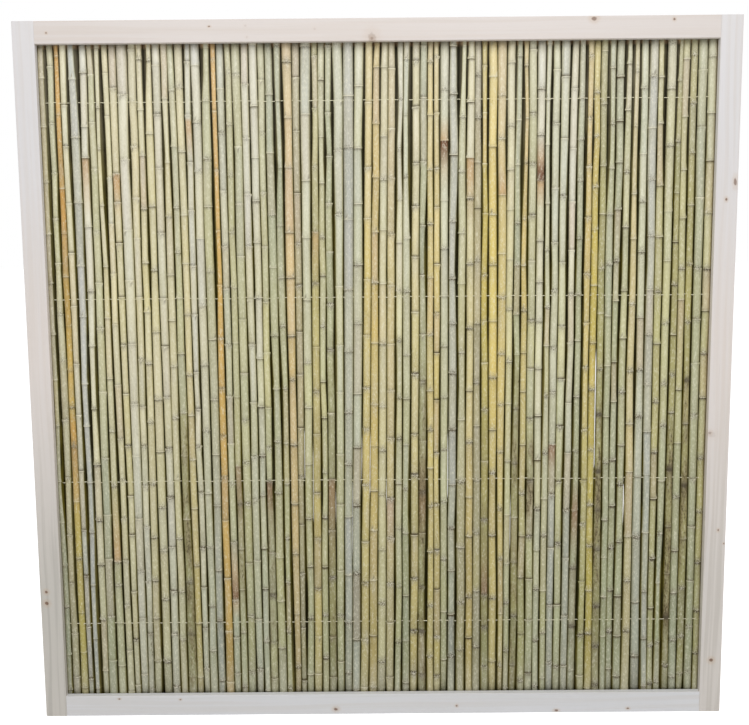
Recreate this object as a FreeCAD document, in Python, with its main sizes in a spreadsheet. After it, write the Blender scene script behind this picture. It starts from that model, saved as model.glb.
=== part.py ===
import FreeCAD, Part
import math
import os
import random

import Sketcher

# A bamboo fence panel: canes on four wires, held in a sandwich frame of planed battens.
# It stands on its lower edge. X runs along its width, Z goes up, and its front faces -Y.
# The origin is under its middle, in the plane through the canes, at the height of its lower edge.

SIZES = {
    "panel_width": 1800.0,
    "panel_height": 1800.0,
    "batten_width": 55.0,
    "batten_thickness": 18.0,
    "side_spacer_width": 52.0,
    "end_spacer_height": 25.0,
    "arris": 1.0,
    "corner_radius": 4.0,
    "thinnest_cane": 13.5,
    "thickest_cane": 27.0,
    "cane_gap": 1.6,
    "ring_lip": 0.7,
    "ring_height": 6.0,
    "node_spacing": 500.0,
    "greatest_kink": 1.2,
    "cane_clearance": 0.3,
    "cane_end_gap": 3.0,
    "wire_diameter": 1.8,
    "wire_forward": 4.5,
    "wire_clearance": 0.1,
    "wire_seat": 10.0,
    "lowest_wire_height": 248.0,
    "lower_wire_height": 634.0,
    "upper_wire_drop": 687.0,
    "highest_wire_drop": 194.0,
    "screw_diameter": 4.0,
    "screw_head_diameter": 8.0,
    "screw_length": 50.0,
    "screw_sink": 0.3,
    "rail_screw_inset": 420.0,
}

# One letter for each cane, left to right, first at the top rail and then at the bottom rail.
# They run from a, the thinnest cane, to h, the thickest.
TOP_ROW = (
    "dbadgdcabd hdbddcbdce facceddbdd gdgbbcghgc ccccddbbae"
    " ecdbbefdba ddbdfcbdbb ddbcdfeeac cfe"
).replace(" ", "")
BOTTOM_ROW = (
    "addbbdfedb cbefddfbbd deccddbded bacebddcde eeedddddcb"
    " dgcdedbadd dbccccdedd bbeffdbcdd ddb"
).replace(" ", "")
LETTERS = "abcdefgh"

# The height of each wire: two are set out from the panel's foot and two from its top.
WIRES = {
    "lowest_wire": "Sizes.lowest_wire_height",
    "lower_wire": "Sizes.lower_wire_height",
    "upper_wire": "Sizes.panel_height - Sizes.upper_wire_drop",
    "highest_wire": "Sizes.panel_height - Sizes.highest_wire_drop",
}

SIDES = 8
STILE_SCREWS = 4
CANE_FILES = 41
SEED = 83

# The first node up a cane, as a share of the spacing, on odd and even canes, and its scatter.
FIRST_NODES = (0.25, 0.75)
NODE_SCATTER = 0.1

# How far the cosine of two like directions is from 1, and two like positions are apart.
DIRECTION_TOLERANCE = 0.01
PLACE_TOLERANCE = 0.1

# A sketch's side before its formula sets it.
ROUGH = 10.0

CANE_SPACE = "(Sizes.thickest_cane + 2 * Sizes.ring_lip + 2 * Sizes.cane_clearance)"
FRONT_LAYER = f"(0 - {CANE_SPACE} / 2 - Sizes.batten_thickness)"
MIDDLE_LAYER = f"(0 - {CANE_SPACE} / 2)"
REAR_LAYER = f"({CANE_SPACE} / 2)"
LEFT_END = "(0 - Sizes.panel_width / 2)"
RAIL_LENGTH = "(Sizes.panel_width - 2 * Sizes.batten_width)"
OPENING_HEIGHT = "(Sizes.panel_height - 2 * Sizes.end_spacer_height)"

doc = FreeCAD.newDocument("bamboo_fence_panel")
sheet = doc.addObject("Spreadsheet::Sheet", "Sizes")
for row, (alias, value) in enumerate(SIZES.items(), start=1):
    sheet.set(f"A{row}", alias)
    sheet.set(f"B{row}", str(value))
    sheet.setAlias(f"B{row}", alias)
doc.recompute()


def size(alias):
    """A driving size in millimetres, read from the sheet."""
    return float(sheet.get(alias))


def origin_part(body, role):
    """One of the planes or axes of a body's own origin."""
    return next(part for part in body.Origin.OriginFeatures if part.Role == role)


def new_sketch(body, plane, name):
    sketch = body.newObject("Sketcher::SketchObject", name)
    sketch.AttachmentSupport = (origin_part(body, plane), [""])
    sketch.MapMode = "FlatFace"
    return sketch


def draw_outline(sketch, corners):
    """Closes straight lines through the corners and joins each to the next."""
    points = [FreeCAD.Vector(x, y, 0) for x, y in corners]
    for start, end in zip(points, points[1:] + points[:1]):
        sketch.addGeometry(Part.LineSegment(start, end), False)
    count = len(points)
    for line in range(count):
        sketch.addConstraint(Sketcher.Constraint("Coincident", line, 2, (line + 1) % count, 1))


def bind(sketch, name, kind, *geometry, formula):
    """Adds a named dimension to a sketch and binds it to the sheet."""
    index = sketch.addConstraint(Sketcher.Constraint(kind, *geometry))
    sketch.renameConstraint(index, name)
    sketch.setExpression(f"Constraints.{name}", formula)


def draw_section(body, plane, across, up):
    """A rectangle with one corner on the body's origin."""
    sketch = new_sketch(body, plane, "Section")
    draw_outline(sketch, [(0, 0), (ROUGH, 0), (ROUGH, ROUGH), (0, ROUGH)])
    for line, direction in enumerate(["Horizontal", "Vertical", "Horizontal", "Vertical"]):
        sketch.addConstraint(Sketcher.Constraint(direction, line))
    sketch.addConstraint(Sketcher.Constraint("Coincident", 0, 1, -1, 1))
    bind(sketch, "across", "DistanceX", 0, 1, 0, 2, ROUGH, formula=across)
    bind(sketch, "up", "DistanceY", 1, 1, 1, 2, ROUGH, formula=up)
    return sketch


def edges_where(shape, wanted):
    return [f"Edge{i}" for i, edge in enumerate(shape.Edges, start=1) if wanted(edge)]


def make_plank(label, run, length, width, thickness, place):
    """A straight batten or strip that runs up or across the panel, before it is drilled."""
    body = doc.addObject("PartDesign::Body", f"{label}_blank")
    body.Label = f"{label}_blank"
    if run == "up":
        sketch = draw_section(body, "XY_Plane", width, thickness)
    else:
        sketch = draw_section(body, "YZ_Plane", thickness, width)
    pad = body.newObject("PartDesign::Pad", "Plank")
    pad.Profile = sketch
    pad.setExpression("Length", length)
    for axis, formula in zip("xyz", place):
        body.setExpression(f"Placement.Base.{axis}", formula)
    doc.recompute()
    return body


def ease_arrises(body, run):
    """Planes a small flat on the four long edges."""
    last = body.Tip
    along = FreeCAD.Vector(0, 0, 1) if run == "up" else FreeCAD.Vector(1, 0, 0)

    def is_long(edge):
        return abs(edge.tangentAt(edge.FirstParameter).dot(along)) > 1 - DIRECTION_TOLERANCE

    chamfer = body.newObject("PartDesign::Chamfer", "Arrises")
    chamfer.Base = (last, edges_where(last.Shape, is_long))
    chamfer.setExpression("Size", "Sizes.arris")
    doc.recompute()


def round_lower_corner(body, ends):
    """Rounds the lower outer corners, at the local x of each end in the list."""
    last = body.Tip

    def is_corner(edge):
        middle = edge.CenterOfMass
        runs_through = abs(edge.tangentAt(edge.FirstParameter).y) > 1 - DIRECTION_TOLERANCE
        at_an_end = any(abs(middle.x - x) < PLACE_TOLERANCE for x in ends)
        return runs_through and at_an_end and abs(middle.z) < PLACE_TOLERANCE

    fillet = body.newObject("PartDesign::Fillet", "LowerCorner")
    fillet.Base = (last, edges_where(last.Shape, is_corner))
    fillet.setExpression("Radius", "Sizes.corner_radius")
    doc.recompute()


# The frame's outer layers: two stiles of full height, and two rails that butt between them.
planks = {}
right_stile_x = "(Sizes.panel_width / 2 - Sizes.batten_width)"
left_rail_x = "(Sizes.batten_width - Sizes.panel_width / 2)"
top_rail_z = "(Sizes.panel_height - Sizes.batten_width)"
for layer, y in (("front", FRONT_LAYER), ("rear", REAR_LAYER)):
    for side, x, outer in (("left", LEFT_END, 0.0), ("right", right_stile_x, size("batten_width"))):
        stile = make_plank(
            f"{layer}_{side}_stile", "up", "Sizes.panel_height",
            "Sizes.batten_width", "Sizes.batten_thickness", (x, y, "0"),
        )
        ease_arrises(stile, "up")
        round_lower_corner(stile, [outer])
        planks[f"{layer}_{side}_stile"] = stile
    for side, z in (("top", top_rail_z), ("bottom", "0")):
        rail = make_plank(
            f"{layer}_{side}_rail", "across", RAIL_LENGTH,
            "Sizes.batten_width", "Sizes.batten_thickness", (left_rail_x, y, z),
        )
        ease_arrises(rail, "across")
        planks[f"{layer}_{side}_rail"] = rail

# The frame's middle layer: strips that keep the outer layers a cane's thickness apart.
for side, z in (("bottom", "0"), ("top", "(Sizes.panel_height - Sizes.end_spacer_height)")):
    strip = make_plank(
        f"{side}_spacer", "across", "Sizes.panel_width",
        "Sizes.end_spacer_height", CANE_SPACE, (LEFT_END, MIDDLE_LAYER, z),
    )
    if side == "bottom":
        round_lower_corner(strip, [0.0, size("panel_width")])
    planks[f"{side}_spacer"] = strip
right_spacer_x = "(Sizes.panel_width / 2 - Sizes.side_spacer_width)"
for side, x in (("left", LEFT_END), ("right", right_spacer_x)):
    planks[f"{side}_spacer"] = make_plank(
        f"{side}_spacer", "up", OPENING_HEIGHT,
        "Sizes.side_spacer_width", CANE_SPACE, (x, MIDDLE_LAYER, "Sizes.end_spacer_height"),
    )


def make_rod(label, height, play):
    """A straight eight-sided rod along a wire's line, wider than the wire by the play all round."""
    rod = doc.addObject("Part::Prism", label)
    rod.Label = label
    rod.Polygon = SIDES
    rod.setExpression("Circumradius", f"(Sizes.wire_diameter / 2 + {play}) / cos(180deg / {SIDES})")
    rod.setExpression("Height", "Sizes.panel_width - 2 * Sizes.side_spacer_width + 2 * Sizes.wire_seat")
    rod.Placement = FreeCAD.Placement(FreeCAD.Vector(), FreeCAD.Rotation(FreeCAD.Vector(0, 1, 0), 90))
    rod.setExpression("Placement.Base.x", f"{LEFT_END} + Sizes.side_spacer_width - Sizes.wire_seat")
    rod.setExpression("Placement.Base.y", "0 - Sizes.wire_forward")
    rod.setExpression("Placement.Base.z", height)
    return rod


# The wires, each from the bottom of its hole in one side strip to that in the other.
nodes = [make_rod(label, height, "0") for label, height in WIRES.items()]


def letter_value(letter, least, greatest):
    """From the least value for the first letter to the greatest for the last, in even steps."""
    return least + (greatest - least) * LETTERS.index(letter) / (len(LETTERS) - 1)


def thicknesses(letters):
    thin, thick = size("thinnest_cane"), size("thickest_cane")
    return [letter_value(letter, thin, thick) for letter in letters]


def fit_row(letters, room):
    """The thickness of each cane in a row, and the edges of the places that they stand in.

    What room is left over widens every gap by the same amount.
    """
    canes = thicknesses(letters)
    gap = (room - sum(canes)) / len(canes)
    edges = [-room / 2]
    for cane in canes:
        edges.append(edges[-1] + cane + gap)
    return canes, edges


def repeat_row(letters, count):
    return [letters[k % len(letters)] for k in range(count)]


def cane_count(room):
    """As many canes as fit the room, with their gaps, both at the top and at the bottom."""
    count = 1
    fits = True
    while fits:
        count += 1
        rows = [thicknesses(repeat_row(row, count)) for row in (TOP_ROW, BOTTOM_ROW)]
        fits = max(sum(row) for row in rows) + count * size("cane_gap") <= room
    return count - 1


def octagon(centre, across_flats):
    """The corners of a level octagon with flats that face +X, -X, +Y and -Y."""
    radius = across_flats / 2 / math.cos(math.pi / SIDES)
    angles = [math.pi * (2 * k + 1) / SIDES for k in range(SIDES)]
    return [centre + FreeCAD.Vector(radius * math.cos(a), radius * math.sin(a), 0) for a in angles]


def skin(rings):
    """A solid with flat facets through a stack of level polygons with parallel sides."""
    faces = [Part.Face(Part.makePolygon([*rings[0], rings[0][0]]))]
    faces.append(Part.Face(Part.makePolygon([*rings[-1], rings[-1][0]])))
    for low, high in zip(rings, rings[1:]):
        for k in range(SIDES):
            after = (k + 1) % SIDES
            corners = [low[k], low[after], high[after], high[k], low[k]]
            faces.append(Part.Face(Part.makePolygon(corners)))
    solid = Part.Solid(Part.Shell(faces))
    if solid.Volume < 0:
        solid.reverse()
    return solid


def node_heights(length, number, chance):
    """Heights of the swollen nodes up a cane. Those of neighbours stand well apart."""
    spacing = size("node_spacing")
    first = FIRST_NODES[number % 2]
    steps = range(int(length / spacing - first) + 1)
    heights = [spacing * (k + first + chance.uniform(-NODE_SCATTER, NODE_SCATTER)) for k in steps]
    return [height for height in heights if height < length - 2 * size("ring_height")]


def make_cane(number, bottom, top, length, chance):
    """One cane: straight stretches that flare into a ring at each node and bend a little there.

    bottom and top hold the cane's thickness and the left and right edge of its place at that end.
    Where a cane's ring stands out by the whole lip, its neighbour has flared by up to 0.7 of it.
    """
    lip = size("ring_lip")
    flares = lip * (1 + FIRST_NODES[1] - FIRST_NODES[0] + 2 * NODE_SCATTER)

    def at(height, sideways, forwards, extra):
        share = height / length
        thickness, left, right = (low + (high - low) * share for low, high in zip(bottom, top))
        free_x = (right - left - thickness - flares - size("cane_clearance")) / 2
        free_y = (size("thickest_cane") - thickness) / 2
        kink_x, kink_y = (max(0.0, min(free, size("greatest_kink"))) for free in (free_x, free_y))
        centre = FreeCAD.Vector((left + right) / 2 + kink_x * sideways, kink_y * forwards, height)
        return octagon(centre, thickness + 2 * extra)

    bends = [(chance.uniform(-1, 1), chance.uniform(-1, 1))]
    rings = [at(0.0, *bends[-1], 0.0)]
    for height in node_heights(length, number, chance):
        bends.append((chance.uniform(-1, 1), chance.uniform(-1, 1)))
        rings.append(at(height, *bends[-1], lip))
        rings.append(at(height + size("ring_height"), *bends[-1], 0.0))
    rings.append(at(length, *bends[0], 0.0))
    return skin(rings)


# The canes stand on the bottom strip, side by side between the side strips.
opening = size("panel_width") - 2 * size("side_spacer_width")
cane_length = size("panel_height") - 2 * size("end_spacer_height") - size("cane_end_gap")
count = cane_count(opening)
low_canes, low_edges = fit_row(repeat_row(BOTTOM_ROW, count), opening)
high_canes, high_edges = fit_row(repeat_row(TOP_ROW, count), opening)
chance = random.Random(SEED)
canes = []
for k in range(count):
    low_end = (low_canes[k], low_edges[k], low_edges[k + 1])
    high_end = (high_canes[k], high_edges[k], high_edges[k + 1])
    canes.append(make_cane(k, low_end, high_end, cane_length, chance))

# Neighbouring canes share a file, since there are more of them than the files that they may have.
starts = [k * count // CANE_FILES for k in range(CANE_FILES + 1)]
for k in range(CANE_FILES):
    label = f"canes_{k + 1:02d}"
    bundle = doc.addObject("Part::Feature", label)
    bundle.Label = label
    bundle.Shape = Part.makeCompound(canes[starts[k]:starts[k + 1]])
    bundle.Placement = FreeCAD.Placement(
        FreeCAD.Vector(0, 0, size("end_spacer_height")), FreeCAD.Rotation()
    )
    nodes.append(bundle)


def make_screw(overshoot=0.0):
    """A countersunk wood screw that points down, with its head's rim at the origin's height.

    The head's cone goes on upwards by the overshoot, for the bit that cuts its seat.
    """
    shank, head = size("screw_diameter"), size("screw_head_diameter")
    profile = [
        (-size("screw_length"), shank),
        ((shank - head) / 2, shank),
        (overshoot, head + 2 * overshoot),
    ]
    return skin([octagon(FreeCAD.Vector(0, 0, height), width) for height, width in profile])


def set_out(label, shape):
    """A copy of the shape at each place where the frame is screwed, pointing to the front."""
    end_height = size("end_spacer_height") / 2
    tall = size("panel_height") - 2 * end_height
    stile_x = size("panel_width") / 2 - size("side_spacer_width") / 2
    rail_x = size("panel_width") / 2 - size("batten_width") - size("rail_screw_inset")
    heights = [end_height + tall * k / (STILE_SCREWS - 1) for k in range(STILE_SCREWS)]
    spots = [(x, z) for x in (-stile_x, stile_x) for z in heights]
    spots += [(x, z) for x in (-rail_x, rail_x) for z in (heights[0], heights[-1])]
    copies = []
    for x, z in spots:
        copy = shape.copy()
        copy.rotate(FreeCAD.Vector(), FreeCAD.Vector(1, 0, 0), -90)
        copy.translate(FreeCAD.Vector(x, 0, z))
        copies.append(copy)
    layers = size("thickest_cane") / 2 + size("ring_lip") + size("cane_clearance")
    head_y = layers + size("batten_thickness") - size("screw_sink")
    item = doc.addObject("Part::Feature", label)
    item.Label = label
    item.Shape = Part.makeCompound(copies)
    item.Placement = FreeCAD.Placement(FreeCAD.Vector(0, head_y, 0), FreeCAD.Rotation())
    return item


# The screws go in from the rear, through all three layers. Their bits and those for the
# wires' ends drill the planks.
nodes.append(set_out("frame_screws", make_screw()))
bits = [set_out("screw_bits", make_screw(2 * size("screw_sink")))]
for label, height in WIRES.items():
    bits.append(make_rod(f"{label}_bit", height, "Sizes.wire_clearance"))
drill = doc.addObject("Part::Compound", "drill")
drill.Links = bits
doc.recompute()
for label, blank in planks.items():
    plank = doc.addObject("Part::Cut", label)
    plank.Label = label
    plank.Base = blank
    plank.Tool = drill
    doc.recompute()
    if plank.Shape.Volume > blank.Shape.Volume - size("screw_diameter") ** 3:
        raise RuntimeError(f"{label} was not drilled")
    nodes.append(plank)

doc.recompute()
for item in doc.Objects:
    if {"Invalid", "Error"} & set(item.State):
        raise RuntimeError(f"{item.Label} failed: {item.State}")
os.makedirs("parts", exist_ok=True)
for node in nodes:
    if node.Shape.isNull() or not node.Shape.isValid() or node.Shape.Volume <= 0:
        raise RuntimeError(f"{node.Label} has no valid shape")
    node.Shape.exportStep(f"parts/{node.Label}.step")
print(f"{count} canes, in {len(nodes)} files")
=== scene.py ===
# %% [markdown]
# A bamboo fence panel: upright canes, side by side on wires, in a frame of planed softwood.
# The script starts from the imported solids. The battens stay as they are and get their wood. The
# canes and wires are made again as finer surfaces along the same lines, since a real cane is
# round, has a ring every hand's breadth and never stands quite straight.

# %% Load the solids
import math

import bpy
import numpy as np
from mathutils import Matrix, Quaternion, Vector


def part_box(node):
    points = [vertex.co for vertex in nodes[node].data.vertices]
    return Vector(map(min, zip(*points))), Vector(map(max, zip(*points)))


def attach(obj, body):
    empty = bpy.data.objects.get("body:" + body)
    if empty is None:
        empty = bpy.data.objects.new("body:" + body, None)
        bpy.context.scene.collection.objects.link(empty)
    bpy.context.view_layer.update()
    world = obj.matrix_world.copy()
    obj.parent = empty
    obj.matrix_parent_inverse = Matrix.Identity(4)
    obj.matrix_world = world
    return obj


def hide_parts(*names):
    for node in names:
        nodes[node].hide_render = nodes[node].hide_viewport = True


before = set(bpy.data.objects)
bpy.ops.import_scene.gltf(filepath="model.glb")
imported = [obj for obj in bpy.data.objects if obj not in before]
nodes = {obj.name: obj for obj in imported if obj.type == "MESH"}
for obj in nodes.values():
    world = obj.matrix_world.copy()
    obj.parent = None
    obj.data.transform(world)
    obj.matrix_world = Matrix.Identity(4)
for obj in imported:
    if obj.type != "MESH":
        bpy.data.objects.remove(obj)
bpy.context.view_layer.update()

MM = 0.001
QUARTER = math.pi / 2

# %% [markdown]
# The camera stands a little above the panel's middle and looks slightly down, so the panel's
# foot is narrower than its top. Its place and lens make the frame's four corners fall where
# they fall in the photograph.

# %% The camera
CAMERA_PLACE = (-0.0065, -2.605, 1.269)
CAMERA_PITCH = -0.12448
CAMERA_TURN = -0.0028
CAMERA_ROLL = -0.00877
FOCAL_PIXELS = 1013.0
PICTURE_WIDTH = 749

lens = bpy.data.cameras.new("camera")
lens.sensor_width = 36.0
lens.lens = FOCAL_PIXELS * lens.sensor_width / PICTURE_WIDTH
camera = bpy.data.objects.new("camera", lens)
camera.location = CAMERA_PLACE
forward = (
    math.sin(CAMERA_TURN) * math.cos(CAMERA_PITCH),
    math.cos(CAMERA_TURN) * math.cos(CAMERA_PITCH),
    math.sin(CAMERA_PITCH),
)
camera.rotation_mode = "QUATERNION"
aim = Vector(forward).to_track_quat("-Z", "Y")
camera.rotation_quaternion = aim @ Quaternion((0, 0, 1), CAMERA_ROLL)
bpy.context.scene.collection.objects.link(camera)
bpy.context.scene.camera = camera
bpy.context.scene.view_settings.view_transform = "Standard"
print("lens", round(lens.lens, 2), "mm")

# %% [markdown]
# Shader nodes are wired up often below, so small helpers come first. One adds a node and sets
# its sockets, two do arithmetic and one mixes colours. The others stretch a value's range or a
# vector, and make cloudy and streaky values.

# %% Helpers for shader nodes
def feed(tree, socket, value):
    """Joins a socket to another node's output, or sets it to a plain value."""
    if isinstance(value, bpy.types.NodeSocket):
        tree.links.new(value, socket)
    else:
        socket.default_value = value


def add(tree, kind, **sockets):
    """A shader node of the kind, with sockets set to values or joined to other nodes' outputs.

    A socket is given by its name with spaces as underscores, or as in0, in1 by its number.
    """
    made = tree.nodes.new(kind)
    for name, value in sockets.items():
        wanted = int(name[2:]) if name[2:].isdigit() else name.replace("_", " ")
        feed(tree, made.inputs[wanted], value)
    return made


def maths(tree, operation, first, second=0.0, third=0.0, clamp=False):
    """The result of one arithmetic step on values or sockets."""
    step = add(tree, "ShaderNodeMath", in0=first, in1=second, in2=third)
    step.operation = operation
    step.use_clamp = clamp
    return step.outputs[0]


def times(tree, first, second, clamp=False):
    """Two values or sockets multiplied."""
    return maths(tree, "MULTIPLY", first, second, clamp=clamp)


def mixed(tree, share, low, high, kind="MIX"):
    """Two colours mixed by a share from 0 to 1."""
    step = tree.nodes.new("ShaderNodeMix")
    step.data_type = "RGBA"
    step.blend_type = kind
    feed(tree, step.inputs[0], share)
    feed(tree, step.inputs[6], low)
    feed(tree, step.inputs[7], high)
    return step.outputs[2]


def spread(tree, value, low, high, start=0.0, end=1.0):
    """Stretches a value's range from low to high onto start to end, smoothly and clamped."""
    step = add(tree, "ShaderNodeMapRange", Value=value, in1=low, in2=high, in3=start, in4=end)
    step.interpolation_type = "SMOOTHSTEP"
    return step.outputs[0]


def noise(tree, vector, scale, detail=2.0, roughness=0.5):
    """A cloudy value from 0 to 1 with features about 1 / scale across."""
    return add(
        tree, "ShaderNodeTexNoise", Vector=vector, Scale=scale, Detail=detail, Roughness=roughness
    ).outputs[0]


def stretched(tree, vector, factors, shift=(0.0, 0.0, 0.0)):
    """A vector multiplied by a factor along each axis, then shifted."""
    step = add(tree, "ShaderNodeVectorMath", in0=vector, in1=factors, in2=shift)
    step.operation = "MULTIPLY_ADD"
    return step.outputs[0]


def streaky(tree, vector, factors, detail=2.0, roughness=0.5, shift=(0.0, 0.0, 0.0)):
    """A cloudy value with a factor's number of features in a metre along each axis."""
    return noise(tree, stretched(tree, vector, factors, shift), 1.0, detail, roughness)


print("helpers for nodes ready")

# %% [markdown]
# Soft, plain light: a white world all round, a large lamp above and in front that gives the
# rails their thin shadows, and a weaker one behind. What the camera sees of the world is pure
# white, as are its reflections, while the light that falls on the panel stays at a plain level.

# %% World and lamps
WHITE = (1, 1, 1, 1)
WORLD_LIGHT = 0.63
LAMP_POWER = 65.0
LAMP_SIZE = 2.2
LAMP_PLACE = (0.1, -2.7, 3.5)
FILL_POWER = 26.0
FILL_PLACE = (1.2, 3.0, 3.0)
PANEL_MIDDLE = (0, 0, 0.9)


def lamp(name, place, power):
    """A square soft box at the place, turned to the middle of the panel."""
    light = bpy.data.lights.new(name, "AREA")
    light.energy = power
    light.size = LAMP_SIZE
    stand = bpy.data.objects.new(name, light)
    stand.location = place
    stand.rotation_mode = "QUATERNION"
    aim = Vector(PANEL_MIDDLE) - Vector(place)
    stand.rotation_quaternion = aim.to_track_quat("-Z", "Y")
    bpy.context.scene.collection.objects.link(stand)


world = bpy.data.worlds.new("plain_world")
bpy.context.scene.world = world
world.use_nodes = True
tree = world.node_tree
tree.nodes.clear()
path = add(tree, "ShaderNodeLightPath").outputs
seen = maths(tree, "MAXIMUM", path["Is Camera Ray"], path["Is Glossy Ray"])
seen = maths(tree, "MAXIMUM", seen, path["Is Transmission Ray"])
plain = add(tree, "ShaderNodeBackground", Color=WHITE, Strength=WORLD_LIGHT).outputs[0]
bright = add(tree, "ShaderNodeBackground", Color=WHITE, Strength=1.0).outputs[0]
blend = add(tree, "ShaderNodeMixShader", in0=seen, in1=plain, in2=bright).outputs[0]
add(tree, "ShaderNodeOutputWorld", Surface=blend)

lamp("front_lamp", LAMP_PLACE, LAMP_POWER)
lamp("rear_lamp", FILL_PLACE, FILL_POWER)
print("lamps", LAMP_POWER, "and", FILL_POWER, "W")

# %% [markdown]
# The floor is plain and white. A faint glow that only the camera sees lifts it to the white of
# the photograph's ground, and the panel still gets its soft shadow.

# %% The floor
FLOOR_REACH = 40.0
FLOOR_GREY = (0.82, 0.82, 0.82, 1)
FLOOR_GLOW = 0.64

floor_mesh = bpy.data.meshes.new("floor")
corners = [(-FLOOR_REACH, -FLOOR_REACH, 0), (FLOOR_REACH, -FLOOR_REACH, 0)]
corners += [(FLOOR_REACH, FLOOR_REACH, 0), (-FLOOR_REACH, FLOOR_REACH, 0)]
floor_mesh.from_pydata(corners, [], [(0, 1, 2, 3)])
floor = bpy.data.objects.new("floor", floor_mesh)
bpy.context.scene.collection.objects.link(floor)

floor_paint = bpy.data.materials.new("floor_white")
floor_paint.use_nodes = True
tree = floor_paint.node_tree
tree.nodes.clear()
path = add(tree, "ShaderNodeLightPath").outputs
faint = times(tree, path["Is Camera Ray"], FLOOR_GLOW)
matt = add(tree, "ShaderNodeBsdfDiffuse", Color=FLOOR_GREY).outputs[0]
glow = add(tree, "ShaderNodeEmission", Color=WHITE, Strength=faint).outputs[0]
both = add(tree, "ShaderNodeAddShader", in0=matt, in1=glow).outputs[0]
add(tree, "ShaderNodeOutputMaterial", Surface=both)
floor_mesh.materials.append(floor_paint)
print("floor", 2 * FLOOR_REACH, "m across")

# %% [markdown]
# An effect that several materials share is a node group, built once. These helpers turn a screen
# shade into a colour, make a group and place it in a material, make a material, lay shades over
# each other, join them to the surface, and dress a piece.

# %% Helpers for groups, materials and pieces
def colour(red, green, blue):
    """The linear colour of a screen shade. Dark parts are divided by 12.92, and others raised
    to the power of 2.4 after the curve's offset.
    """
    shade = np.array([red, green, blue]) / 255
    return np.where(shade < 0.04045, shade / 12.92, ((shade + 0.055) / 1.055) ** 2.4)


def rgba(shade):
    """A shade as the four numbers of a colour socket."""
    return (*(float(value) for value in shade), 1.0)


def new_group(name, inputs, outputs):
    """An empty node group with named inputs and outputs, and the sockets inside it."""
    group = bpy.data.node_groups.new(name, "ShaderNodeTree")
    for label, kind, value in inputs:
        socket = group.interface.new_socket(label, in_out="INPUT", socket_type=kind)
        if value is not None:
            socket.default_value = value
    for label, kind in outputs:
        group.interface.new_socket(label, in_out="OUTPUT", socket_type=kind)
    taken = group.nodes.new("NodeGroupInput").outputs
    given = group.nodes.new("NodeGroupOutput").inputs
    return group, taken, given


def place_group(tree, group, **sockets):
    """Puts a group into a tree, with its inputs set by name, and gives back its outputs."""
    made = tree.nodes.new("ShaderNodeGroup")
    made.node_tree = group
    for name, value in sockets.items():
        feed(tree, made.inputs[name.replace("_", " ")], value)
    return made.outputs


def new_material(name):
    """A material with its node tree and its Principled BSDF."""
    material = bpy.data.materials.new(name)
    material.use_nodes = True
    return material, material.node_tree, material.node_tree.nodes["Principled BSDF"]


def over(tree, tint, share, shade):
    """The tint with a shade laid over it by a share."""
    return mixed(tree, share, tint, rgba(shade))


def stained(tree, tint, share, factors):
    """The tint with its red, green and blue multiplied by factors, by a share."""
    return mixed(tree, share, tint, (*factors, 1.0), "MULTIPLY")


def coat(tree, surface, tint, rough, relief=None, strength=0.0, depth=0.0):
    """Joins a colour, a roughness and, where there is one, a relief of a depth in metres."""
    tree.links.new(tint, surface.inputs["Base Color"])
    tree.links.new(rough, surface.inputs["Roughness"])
    if relief is not None:
        bump = add(tree, "ShaderNodeBump", Strength=strength, Distance=depth, Height=relief)
        tree.links.new(bump.outputs["Normal"], surface.inputs["Normal"])


def dress(piece, material):
    """Gives a piece one material all over."""
    piece.data.materials.clear()
    piece.data.materials.append(material)
    for index in range(len(piece.material_slots)):
        piece.material_slots[index].material = material


print("helpers for pieces ready")

# %% [markdown]
# The battens are planed spruce that has been outdoors for a while. Planing across the growth
# rings leaves long soft lines that run with the board, finer pores between them, and a few
# knots. The lines are noise stretched along the board. The group below takes a vector whose Z
# runs with the grain, so that one group serves upright and level boards.

# %% Grain and knots as node groups
grain_group, taken, given = new_group(
    "board_grain",
    [("Vector", "NodeSocketVector", None), ("Seed", "NodeSocketFloat", 0.0)],
    [("Rings", "NodeSocketFloat"), ("Pores", "NodeSocketFloat"), ("Clouds", "NodeSocketFloat")],
)
shift = add(grain_group, "ShaderNodeCombineXYZ", X=taken["Seed"], Y=taken["Seed"], Z=taken["Seed"])
moved = add(grain_group, "ShaderNodeVectorMath", in0=taken["Vector"], in1=shift.outputs[0])
moved = moved.outputs[0]
wander = streaky(grain_group, moved, (5.0, 5.0, 1.1))
bands = stretched(grain_group, moved, (95.0, 95.0, 1.6))
waver = add(grain_group, "ShaderNodeCombineXYZ", X=times(grain_group, wander, 5.0))
bands = add(grain_group, "ShaderNodeVectorMath", in0=bands, in1=waver.outputs[0]).outputs[0]
rings = noise(grain_group, bands, 1.0, 2.5, 0.45)
pores = streaky(grain_group, moved, (750.0, 750.0, 14.0), 2.0, 0.6)
clouds = streaky(grain_group, moved, (9.0, 9.0, 2.2), 3.0)
grain_group.links.new(spread(grain_group, rings, 0.36, 0.66), given["Rings"])
grain_group.links.new(pores, given["Pores"])
grain_group.links.new(clouds, given["Clouds"])

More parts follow.
